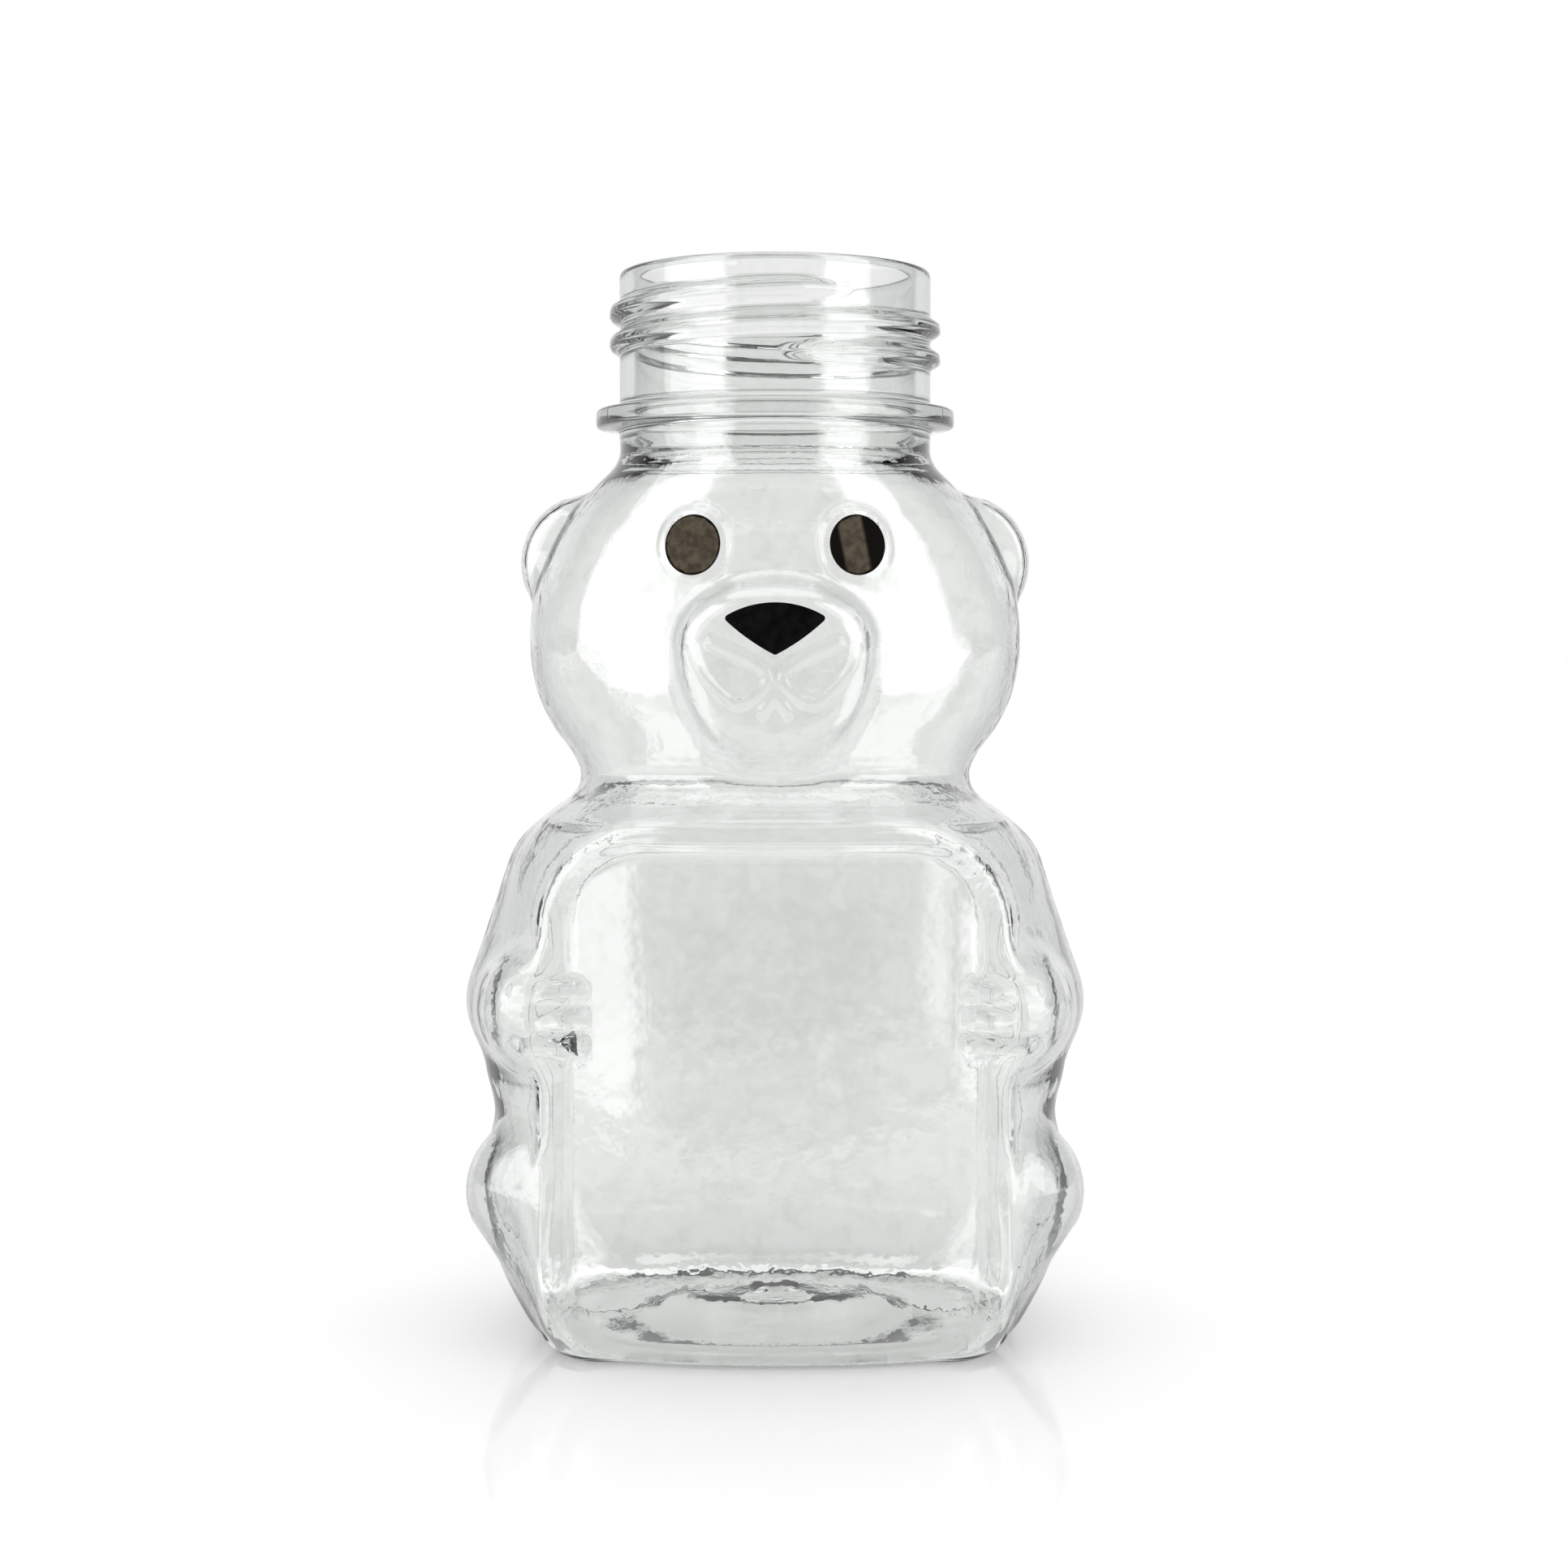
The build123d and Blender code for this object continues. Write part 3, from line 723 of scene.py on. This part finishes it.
def fill_inputs(tree, node, inputs):
    """Link each named input to another node's output, or set it to a value."""
    for name, value in inputs.items():
        if isinstance(value, bpy.types.NodeSocket):
            tree.links.new(value, node.inputs[name])
        else:
            node.inputs[name].default_value = value
    return node


def math_node(tree, operation, *values):
    """A Math node. A value is a number or another node's output."""
    node = add_node(tree, "ShaderNodeMath", operation=operation)
    return fill_inputs(tree, node, dict(enumerate(values))).outputs[0]


def float_mix(tree, factor, low, high):
    """A Mix node between two numbers or outputs."""
    node = add_node(tree, "ShaderNodeMix", data_type="FLOAT")
    return fill_inputs(tree, node, {"Factor": factor, "A": low, "B": high}).outputs["Result"]


def colour_mix(tree, factor, low, high):
    """A Mix node between two colours. Each is red, green and blue, or a node's output."""
    node = add_node(tree, "ShaderNodeMix", data_type="RGBA")
    low, high = [
        value if isinstance(value, bpy.types.NodeSocket) else (*value, 1) for value in (low, high)
    ]
    return fill_inputs(tree, node, {"Factor": factor, "A": low, "B": high}).outputs["Result"]


def smooth_range(tree, value, low, high, to_low=0.0, to_high=1.0):
    """A value that eases from one number to another as it passes from low to high."""
    node = add_node(tree, "ShaderNodeMapRange", interpolation_type="SMOOTHSTEP")
    inputs = {"Value": value, "From Min": low, "From Max": high, "To Min": to_low, "To Max": to_high}
    return fill_inputs(tree, node, inputs).outputs["Result"]


# %% Helpers for textures, groups and materials
def noise(tree, place, scale, detail, distortion=0.0):
    node = add_node(tree, "ShaderNodeTexNoise")
    inputs = {"Vector": place, "Scale": scale, "Detail": detail, "Distortion": distortion}
    return fill_inputs(tree, node, inputs).outputs["Fac"]


def split(tree, place):
    """The three coordinates of a place."""
    return fill_inputs(tree, add_node(tree, "ShaderNodeSeparateXYZ"), {"Vector": place}).outputs


def new_group(name, inputs, outputs):
    """An empty node group, with its input node's outputs and its output node's inputs."""
    group = bpy.data.node_groups.new(name, "ShaderNodeTree")
    for names, in_out in ((inputs, "INPUT"), (outputs, "OUTPUT")):
        for socket, kind in names.items():
            group.interface.new_socket(socket, in_out=in_out, socket_type="NodeSocket" + kind)
    return group, add_node(group, "NodeGroupInput").outputs, add_node(group, "NodeGroupOutput")


def empty_material(name):
    """A material with no nodes yet, and the place in the object's own coordinates."""
    material = bpy.data.materials.new(name)
    material.use_nodes = True
    material.node_tree.nodes.clear()
    place = add_node(material.node_tree, "ShaderNodeTexCoord").outputs["Object"]
    return material, material.node_tree, place


# %% [markdown]
# ## Clear plastic
#
# PET is as clear as glass and bends light a little more. What shows that it is there is the gloss of its
# two faces, the slow ripples, the grey lines where it is seen edge on, and a trace of grey-green. The
# ripples and a fine moulding seam are bumps, made in a node group so that other clear parts can have them.

# %% Ripples of a blown wall, as a node group
SLOW_RIPPLES, FINE_RIPPLES = (150, 1.0), (520, 2.0)  # scale and detail of the noise
SEAM_CORE, SEAM_EDGE = 0.08 * MM, 0.35 * MM
BLOWN_TOP, MOULDED_FROM = 97 * MM, 100 * MM


def blown_ripples():
    """Puts out a height for a bump: slow ripples, fine ripples and a seam on the middle plane."""
    inputs = {"Place": "Vector", "Slow": "Float", "Fine": "Float", "Seam": "Float"}
    group, given, output = new_group("blown ripples", inputs, {"Height": "Float"})
    slow = noise(group, given["Place"], *SLOW_RIPPLES)
    fine = noise(group, given["Place"], *FINE_RIPPLES)
    apart = split(group, given["Place"])
    seam = smooth_range(group, math_node(group, "ABSOLUTE", apart["Y"]), SEAM_CORE, SEAM_EDGE, 1.0, 0.0)
    blown = smooth_range(group, apart["Z"], BLOWN_TOP, MOULDED_FROM, 1.0, 0.0)
    height = math_node(group, "MULTIPLY", slow, given["Slow"])
    height = math_node(group, "MULTIPLY_ADD", fine, given["Fine"], height)
    height = math_node(group, "MULTIPLY", height, blown)
    fill_inputs(group, output, {"Height": math_node(group, "MULTIPLY_ADD", seam, given["Seam"], height)})
    return group


RIPPLES = blown_ripples()
print("the ripples' group has", len(RIPPLES.nodes), "nodes")

# %% [markdown]
# The tint does the rest. Layer Weight's Facing is 0 where we look straight at the plastic and 1 where we
# see it edge on, and there the colour turns grey: painted shade, for the dark surroundings that an edge
# reflects and bends into view. The middle of each label panel is clouded darker, a painted reflection of
# the same dark. Shadow rays get another answer: clear plastic would cast the shadow of a solid, so they see
# a
# Transparent shader, darker where the wall is steep.

# %% A clouded tint, and a painted reflection on the panels
# Clouds of random tint; on the panels they are darkened as a painted reflection of dark surroundings
MOTTLE_SCALE, MOTTLE_DETAIL, MOTTLE_WARP, PANEL_REFLECTION_DARKER = 420, 3.0, 0.6, -0.16
PANEL_REFLECTION_ASIDE = (8 * MM, 17 * MM)
PANEL_REFLECTION_LOW, PANEL_REFLECTION_HIGH = (14 * MM, 26 * MM), (46 * MM, 55 * MM)
TINT_AND_REFLECTION_STOPS = [(0.30, (0.90, 0.915, 0.898)), (0.48, (0.962, 0.969, 0.961))]


def tint_and_panel_reflection(tree, place):
    """A clouded, nearly clear tint, darkened in the middle of the panels by a painted reflection of dark
    surroundings.
    """
    apart = split(tree, place)
    aside = smooth_range(tree, math_node(tree, "ABSOLUTE", apart["X"]), *PANEL_REFLECTION_ASIDE, 1.0, 0.0)
    low = smooth_range(tree, apart["Z"], *PANEL_REFLECTION_LOW)
    high = smooth_range(tree, apart["Z"], *PANEL_REFLECTION_HIGH, 1.0, 0.0)
    # Mask of the painted reflection: the middle of the front and back panels
    panel_reflection_mask = math_node(tree, "MULTIPLY", math_node(tree, "MULTIPLY", low, high), aside)
    cloud = noise(tree, place, MOTTLE_SCALE, MOTTLE_DETAIL, MOTTLE_WARP)
    tint_and_reflection = add_node(tree, "ShaderNodeValToRGB")
    for stop, (position, colour) in zip(tint_and_reflection.color_ramp.elements, TINT_AND_REFLECTION_STOPS):
        stop.position, stop.color = position, (*colour, 1)
    spots_and_reflection = math_node(tree, "MULTIPLY_ADD", panel_reflection_mask, PANEL_REFLECTION_DARKER, cloud)
    return fill_inputs(tree, tint_and_reflection, {"Fac": spots_and_reflection}).outputs["Color"]


# %% The clear plastic itself
# Painted shade: grey where the plastic is seen edge on, standing in for the dark surroundings that edges
# reflect
PAINTED_EDGE_SHADE, EDGE_FACING, EDGE_SHADE_SHARE = (0.42, 0.44, 0.44), (0.32, 0.88), 0.74
# Near the floor the painted edge shade is weaker, and every wall shades the floor
BASE_SHADE_LEVELS, BASE_SHADE_SHARE = (1 * MM, 7 * MM), 0.35
SHADOW_THIN, SHADOW_STEEP, SHADOW_FACING = (0.95,) * 3, (0.12,) * 3, (0.35, 0.85)
FOOT_SHADOW_LEVELS = (3 * MM, 14 * MM)


def clear_plastic():
    material, tree, place = empty_material("clear_pet")
    ripples = add_node(tree, "ShaderNodeGroup", node_tree=RIPPLES)
    fill_inputs(tree, ripples, {"Place": place, "Slow": 0.7, "Fine": 0.45, "Seam": 0.5})
    bump = add_node(tree, "ShaderNodeBump")
    fill_inputs(tree, bump, {"Strength": 0.35, "Distance": 0.2 * MM, "Height": ripples.outputs["Height"]})
    facing = add_node(tree, "ShaderNodeLayerWeight").outputs["Facing"]
    level = split(tree, place)["Z"]

    # Painted shade on walls seen edge on, weaker near the floor
    steep = smooth_range(tree, facing, *EDGE_FACING, 0.0, EDGE_SHADE_SHARE)
    above_base = smooth_range(tree, level, *BASE_SHADE_LEVELS, BASE_SHADE_SHARE, 1.0)
    edge = math_node(tree, "MULTIPLY", steep, above_base)
    plastic = add_node(tree, "ShaderNodeBsdfPrincipled")
    plastic.inputs["IOR"].default_value = 1.57
    plastic.inputs["Roughness"].default_value = 0.02
    plastic.inputs["Transmission Weight"].default_value = 1.0
    colour = colour_mix(tree, edge, tint_and_panel_reflection(tree, place), PAINTED_EDGE_SHADE)
    fill_inputs(tree, plastic, {"Base Color": colour, "Normal": bump.outputs["Normal"]})

    at_foot = smooth_range(tree, level, *FOOT_SHADOW_LEVELS, 1.0, 0.0)
    blocked = math_node(tree, "MAXIMUM", smooth_range(tree, facing, *SHADOW_FACING), at_foot)
    passing = add_node(tree, "ShaderNodeBsdfTransparent")
    fill_inputs(tree, passing, {"Color": colour_mix(tree, blocked, SHADOW_THIN, SHADOW_STEEP)})
    path = add_node(tree, "ShaderNodeLightPath").outputs
    mix = add_node(tree, "ShaderNodeMixShader")
    fill_inputs(tree, mix, {"Fac": path["Is Shadow Ray"], 1: plastic.outputs[0], 2: passing.outputs[0]})

    body = add_node(tree, "ShaderNodeVolumeAbsorption")
    fill_inputs(tree, body, {"Color": (0.78, 0.80, 0.79, 1), "Density": 160})
    output = add_node(tree, "ShaderNodeOutputMaterial")
    fill_inputs(tree, output, {"Surface": mix.outputs[0], "Volume": body.outputs[0]})
    return material


CLEAR_PET = clear_plastic()
bottle = new_piece("bear_bottle", tube_through(outside + inside), CLEAR_PET)
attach(bottle, "root")
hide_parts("bottle")
print("bottle faces:", len(bottle.data.polygons))

# %% [markdown]
# ## Printed eyes and nose
#
# Each print is a thin coat of ink from a pad printer, with slightly ragged edges.


# %% Where a print ends, as a node group
RAGGED_NOISE, RAGGED_REACH = (1500, 3.0), 0.12


def print_reach():
    """0 in the middle of an oval print and 1 at its edge, with the edge a little ragged."""
    inputs = {"Place": "Vector", "Middle": "Vector", "Scale": "Vector"}
    outputs = {"Reach": "Float", "Across": "Float", "Up": "Float"}
    group, given, output = new_group("print reach", inputs, outputs)
    away = add_node(group, "ShaderNodeVectorMath", operation="SUBTRACT")
    fill_inputs(group, away, {0: given["Place"], 1: given["Middle"]})
    share = add_node(group, "ShaderNodeVectorMath", operation="MULTIPLY")
    fill_inputs(group, share, {0: away.outputs[0], 1: given["Scale"]})
    length = add_node(group, "ShaderNodeVectorMath", operation="LENGTH")
    fill_inputs(group, length, {0: share.outputs[0]})
    rough = noise(group, given["Place"], *RAGGED_NOISE)
    ragged = math_node(group, "MULTIPLY_ADD", rough, RAGGED_REACH, -RAGGED_REACH / 2)
    reach = math_node(group, "ADD", length.outputs["Value"], ragged)
    apart = split(group, share.outputs[0])
    fill_inputs(group, output, {"Reach": reach, "Across": apart["X"], "Up": apart["Z"]})
    return group


PRINT_REACH = print_reach()
print("the prints' group has", len(PRINT_REACH.nodes), "nodes")

# %% [markdown]
# The ink itself is two close shades in a cloudy mix. The eyes have a thin black rim. One eye is painted
# black as shade, and its brown shows only in a slanting streak of painted highlight. These materials go
# onto the pieces of the CAD model, which keep their shapes.


# %% Ink
CLOUDY_NOISE, CLOUDY_RANGE = (1100, 5.0), (0.3, 0.7)
RIM_REACH, RIM_AND_PAINTED_SHADE = (0.90, 0.96), (0.004, 0.003, 0.002)
# A slanting band of painted highlight on one eye; outside it that eye takes the rim's black as painted
# shade
HIGHLIGHT_LEAN, HIGHLIGHT_EDGE = 0.22, (0.34, 0.52)


def ink(name, dark, light, node=None, highlight_streak=None):
    """Printed ink. A node's print gets a black rim; with a highlight streak, the print is painted black as
    shade and the brown shows only in that slanting band, a painted highlight.
    """
    material, tree, place = empty_material(name)
    cloudy = smooth_range(tree, noise(tree, place, *CLOUDY_NOISE), *CLOUDY_RANGE)
    colour = colour_mix(tree, cloudy, dark, light)
    if node:
        low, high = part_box(node)
        reach = add_node(tree, "ShaderNodeGroup", node_tree=PRINT_REACH)
        middle = (Vector(low) + Vector(high)) / 2
        scale = (2 / (high[0] - low[0]), 0, 2 / (high[2] - low[2]))
        fill_inputs(tree, reach, {"Place": place, "Middle": middle, "Scale": scale})
        rim = smooth_range(tree, reach.outputs["Reach"], *RIM_REACH)
        # One eye is a shaded copy of the ink: painted black, with the brown left in a slanting band of
        # painted highlight
        if highlight_streak:
            across, up = reach.outputs["Across"], reach.outputs["Up"]
            lean = math_node(tree, "MULTIPLY_ADD", up, HIGHLIGHT_LEAN, across)
            off = math_node(tree, "ABSOLUTE", math_node(tree, "ADD", lean, highlight_streak))
            rim = math_node(tree, "MAXIMUM", rim, smooth_range(tree, off, *HIGHLIGHT_EDGE))
        colour = colour_mix(tree, rim, colour, RIM_AND_PAINTED_SHADE)
    plain = add_node(tree, "ShaderNodeBsdfPrincipled")
    fill_inputs(tree, plain, {"Base Color": colour, "Roughness": 0.55, "Specular IOR Level": 0.06})
    fill_inputs(tree, add_node(tree, "ShaderNodeOutputMaterial"), {"Surface": plain.outputs[0]})
    return material


BROWN_DARK, BROWN_LIGHT = (0.062, 0.048, 0.033), (0.125, 0.103, 0.075)
PRINTS = {
    "right_eye": ink("brown_ink", BROWN_DARK, BROWN_LIGHT, "right_eye"),
    "left_eye": ink("ink_with_painted_highlight", BROWN_DARK, BROWN_LIGHT, "left_eye", 0.12),
    "nose": ink("black_ink", (0.0015, 0.0015, 0.0015), (0.006, 0.006, 0.006)),
}
for node, material in PRINTS.items():
    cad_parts[node].data.materials.clear()
    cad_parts[node].data.materials.append(material)
print("prints:", list(PRINTS))

# %% [markdown]
# ## The floor
#
# The photograph is a cut-out on white, with a soft dark contact shadow and a faint mirror image. The floor
# mixes a little gloss near the bottle for that image. Light Path tells it which ray is asking: the camera
# sees it slightly brighter than the light finds it, so it turns white. Rays that come through the bottle
# see it brighter still under the base: a real bottle gathers light there, and shadow rays don't bring it.


# %% Floor
FLOOR_SHADE, CAMERA_GAIN = 0.93, 0.34
THROUGH_GAIN, UNDER_GAIN = 0.35, 4.6
UNDER_WIDE, UNDER_DEEP = (23 * MM, 30 * MM), (18 * MM, 26 * MM)
MIRROR_REACH, MIRROR_SHARE = (40 * MM, 110 * MM), 0.17


def floor_material():
    material, tree, place = empty_material("white_floor")
    reach = add_node(tree, "ShaderNodeVectorMath", operation="LENGTH")
    fill_inputs(tree, reach, {0: place})
    near = smooth_range(tree, reach.outputs["Value"], *MIRROR_REACH, MIRROR_SHARE, 0.0)
    apart = split(tree, place)
    wide = smooth_range(tree, math_node(tree, "ABSOLUTE", apart["X"]), *UNDER_WIDE, 1.0, 0.0)
    deep = smooth_range(tree, math_node(tree, "ABSOLUTE", apart["Y"]), *UNDER_DEEP, 1.0, 0.0)
    under = math_node(tree, "MULTIPLY", wide, deep)
    below = math_node(tree, "MULTIPLY_ADD", under, UNDER_GAIN, THROUGH_GAIN)
    path = add_node(tree, "ShaderNodeLightPath").outputs
    seen = math_node(tree, "MULTIPLY", path["Is Transmission Ray"], below)
    seen = math_node(tree, "MAXIMUM", path["Is Camera Ray"], seen)
    lit = add_node(tree, "ShaderNodeBsdfDiffuse")
    fill_inputs(tree, lit, {"Color": math_node(tree, "MULTIPLY_ADD", seen, CAMERA_GAIN, FLOOR_SHADE)})
    gloss = add_node(tree, "ShaderNodeBsdfGlossy")
    gloss.inputs["Roughness"].default_value = 0.04
    mix = add_node(tree, "ShaderNodeMixShader")
    fill_inputs(tree, mix, {"Fac": near, 1: lit.outputs[0], 2: gloss.outputs[0]})
    fill_inputs(tree, add_node(tree, "ShaderNodeOutputMaterial"), {"Surface": mix.outputs[0]})
    return material


# The table ends a little in front of the bottle, so that the bottle's front mirrors the dark beyond it
TABLE_EDGE, TABLE_SIZE, TABLE_DROP = 135, 2000, 0.05
shape = bmesh.new()
bmesh.ops.create_grid(shape, x_segments=8, y_segments=8, size=TABLE_SIZE)
bmesh.ops.translate(shape, verts=shape.verts, vec=(0, TABLE_SIZE - TABLE_EDGE, -TABLE_DROP))
floor = new_piece("floor", shape, floor_material())
print("the table ends", TABLE_EDGE, "mm in front of the axis")

# %% [markdown]
# ## The sky
#
# Clear plastic shows nothing but what is round it, so the sky is half of its look. Behind the bottle it is
# white, and the camera's side is dark, which draws grey lines on every edge. A few bright windows, given by
# bearing and height in degrees, make the highlights. Light Path sorts the rays: the camera sees plain
# white, a glossy or refracted ray sees the windows, and the light that falls on the floor is even. Rays
# that go straight through, with no reflection, also see white beyond the sides and the front, so the bottle
# stays clear from every side.

# %% Windows of the sky, as a node group
SKY_TURN, DARK_SIDE, EVEN_LIGHT = (0.2, 0.8), 0.10, 0.9
# Middle, half width, bottom and top in degrees, and how bright
WINDOWS = [
    (-63.0, 25.0, 0.0, 56.0, 2.6),
    (55.5, 18.0, 0.0, 56.0, 2.6),
    (-59.0, 30.0, -13.0, 0.0, 2.5),
    (64.0, 24.0, -13.0, 0.0, 2.5),
    (0.0, 180.0, 66.0, 95.0, 1.6),
]
WINDOW_SOFT = 3.0
CLEAR_VIEW, CLEAR_SOFT = (0.0, 95.0, -40.0, 26.0), 16.0
# The sky counts one bounce more than the plastic has made
NO_REFLECTION = 1.5


def window_group():
    """1 inside a window of the sky: a range of bearings and heights in degrees, with soft edges."""
    names = ("Bearing", "Height", "Middle", "Half Width", "Bottom", "Top", "Soft")
    group, given, output = new_group("window", dict.fromkeys(names, "Float"), {"Inside": "Float"})
    away = math_node(group, "ABSOLUTE", math_node(group, "SUBTRACT", given["Bearing"], given["Middle"]))

    def edge(larger, smaller):
        share = math_node(group, "DIVIDE", math_node(group, "SUBTRACT", larger, smaller), given["Soft"])
        clamp = add_node(group, "ShaderNodeClamp")
        return fill_inputs(group, clamp, {"Value": math_node(group, "ADD", share, 0.5)}).outputs[0]

    upright = math_node(
        group, "MULTIPLY", edge(given["Height"], given["Bottom"]), edge(given["Top"], given["Height"])
    )
    inside = math_node(group, "MULTIPLY", upright, edge(given["Half Width"], away))
    fill_inputs(group, output, {"Inside": inside})
    return group


WINDOW = window_group()


# %% World
def studio_world():
    world = bpy.data.worlds.new("studio")
    bpy.context.scene.world = world
    world.use_nodes = True
    tree = world.node_tree
    tree.nodes.clear()
    apart = split(tree, add_node(tree, "ShaderNodeTexCoord").outputs["Generated"])
    ahead = math_node(tree, "MULTIPLY", apart["Y"], -1.0)
    bearing = math_node(tree, "DEGREES", math_node(tree, "ARCTAN2", apart["X"], ahead))
    height = math_node(tree, "DEGREES", math_node(tree, "ARCSINE", apart["Z"]))

    def window(middle, half_width, bottom, top, soft):
        node = add_node(tree, "ShaderNodeGroup", node_tree=WINDOW)
        inputs = {"Bearing": bearing, "Height": height, "Middle": middle, "Half Width": half_width}
        inputs.update({"Bottom": bottom, "Top": top, "Soft": soft})
        return fill_inputs(tree, node, inputs).outputs["Inside"]

    shine = smooth_range(tree, apart["Y"], *SKY_TURN, DARK_SIDE, 1.0)
    for *place, strength in WINDOWS:
        shine = math_node(tree, "MULTIPLY_ADD", window(*place, WINDOW_SOFT), strength, shine)
    path = add_node(tree, "ShaderNodeLightPath").outputs
    bounced = math_node(tree, "SUBTRACT", path["Ray Depth"], path["Transmission Depth"])
    straight = math_node(tree, "LESS_THAN", bounced, NO_REFLECTION)
    polished = math_node(tree, "MAXIMUM", path["Is Glossy Ray"], path["Is Transmission Ray"])
    through = math_node(tree, "MAXIMUM", shine, window(*CLEAR_VIEW, CLEAR_SOFT))
    light = float_mix(tree, straight, shine, through)
    light = float_mix(tree, polished, EVEN_LIGHT, light)
    light = float_mix(tree, path["Is Camera Ray"], light, 1.0)
    sky = add_node(tree, "ShaderNodeBackground")
    fill_inputs(tree, sky, {"Color": (1, 1, 1, 1), "Strength": light})
    fill_inputs(tree, add_node(tree, "ShaderNodeOutputWorld"), {"Surface": sky.outputs[0]})


studio_world()
bpy.context.scene.view_settings.view_transform = "Standard"
print("windows in the sky:", len(WINDOWS))
